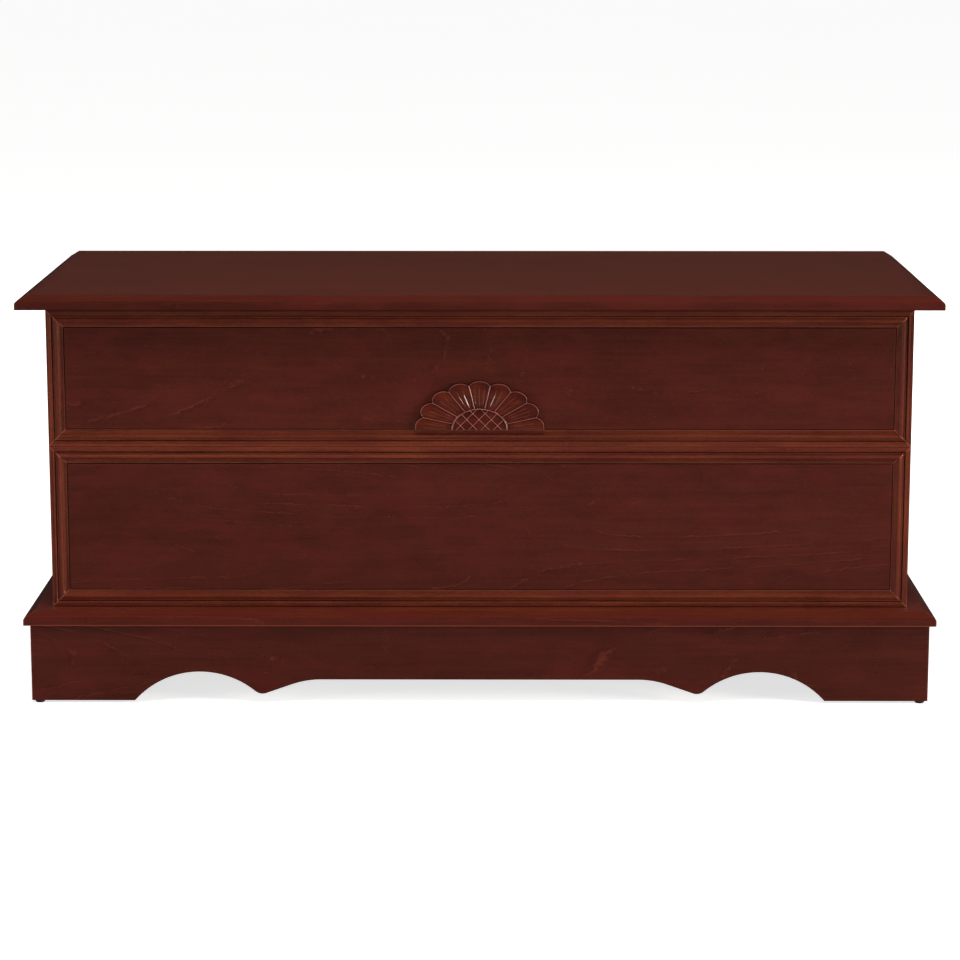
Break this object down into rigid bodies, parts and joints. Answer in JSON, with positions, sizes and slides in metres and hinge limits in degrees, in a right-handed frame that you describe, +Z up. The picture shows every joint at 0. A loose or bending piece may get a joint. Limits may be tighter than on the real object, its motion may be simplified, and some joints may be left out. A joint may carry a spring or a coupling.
{
  "type": "wooden chest",
  "caption": "Low rectangular lift-lid wooden chest on a scroll-cut plinth, with a framed front, a carved half sunburst, cedar lining, butt hinges and slotted lid stays.",
  "frame": {"origin": "on the floor, under the centre of the chest's overall width and depth", "axes": "+X to the chest's own left-to-right as seen from the front, -Y out of the carved front, +Z up"},
  "size_m": [1.143, 0.5074, 0.517],
  "materials": {
    "cherry_veneer": "satin lacquer",
    "cherry_moulding": "satin lacquer",
    "cedar": "bare, sanded",
    "inner_wood": "bare or stained",
    "antique_brass": "antiqued",
    "black_nylon": "matte",
    "bumper_rubber": "matte"
  },
  "bodies": {
    "case": {"front_panel": "cherry_veneer", "left_side_panel": "cherry_veneer", "right_side_panel": "cherry_veneer", "back_panel": "inner_wood", "bottom_panel": "inner_wood", "hinge_rail": "inner_wood", "lining_front": "cedar", "lining_back": "cedar", "lining_left": "cedar", "lining_right": "cedar", "lining_floor": "cedar", "upper_frame_top_rail": "cherry_moulding", "upper_frame_bottom_rail": "cherry_moulding", "upper_frame_left_stile": "cherry_moulding", "upper_frame_right_stile": "cherry_moulding", "lower_frame_top_rail": "cherry_moulding", "lower_frame_bottom_rail": "cherry_moulding", "lower_frame_left_stile": "cherry_moulding", "lower_frame_right_stile": "cherry_moulding", "sunburst_carving": "cherry_moulding", "base_moulding_front": "cherry_moulding", "base_moulding_left": "cherry_moulding", "base_moulding_right": "cherry_moulding", "base_back_rail": "inner_wood", "bottom_battens": "inner_wood", "apron_front": "cherry_veneer", "apron_left": "cherry_veneer", "apron_right": "cherry_veneer", "apron_back": "inner_wood", "corner_blocks": "inner_wood", "glides": "black_nylon", "hinge_left_case_leaf": "antique_brass", "hinge_centre_case_leaf": "antique_brass", "hinge_right_case_leaf": "antique_brass", "hinge_left_pin": "antique_brass", "hinge_centre_pin": "antique_brass", "hinge_right_pin": "antique_brass", "hinge_case_screws": "antique_brass", "stay_left_case_stud": "antique_brass", "stay_right_case_stud": "antique_brass", "stay_case_screws": "antique_brass"},
    "lid": {"lid_panel": "cherry_veneer", "lid_edge_front": "cherry_moulding", "lid_edge_left": "cherry_moulding", "lid_edge_right": "cherry_moulding", "lid_lining": "cedar", "lid_bumpers": "bumper_rubber", "hinge_left_lid_leaf": "antique_brass", "hinge_centre_lid_leaf": "antique_brass", "hinge_right_lid_leaf": "antique_brass", "hinge_lid_screws": "antique_brass", "stay_left_lid_bracket": "antique_brass", "stay_right_lid_bracket": "antique_brass", "stay_left_pivot_pin": "antique_brass", "stay_right_pivot_pin": "antique_brass", "stay_lid_screws": "antique_brass"},
    "stay_left": {"stay_left_arm": "antique_brass"},
    "stay_right": {"stay_right_arm": "antique_brass"}
  },
  "joints": [
    {"name": "lid_hinge", "type": "hinge", "parent": "case", "child": "lid", "pos_m": [0, 0.24925, 0.4995], "axis": [-1, 0, 0], "range_deg": [0, 95]},
    {"name": "stay_left_pivot", "type": "hinge", "parent": "lid", "child": "stay_left", "pos_m": [-0.513, 0.07925, 0.4775], "axis": [-1, 0, 0], "range_deg": [-47.5, 0]},
    {"name": "stay_right_pivot", "type": "hinge", "parent": "lid", "child": "stay_right", "pos_m": [0.513, 0.07925, 0.4775], "axis": [-1, 0, 0], "range_deg": [-47.5, 0]}
  ],
  "couplings": [
    {"joint": "stay_left_pivot", "follows": "lid_hinge", "ratio": -0.5},
    {"joint": "stay_right_pivot", "follows": "lid_hinge", "ratio": -0.5}
  ]
}
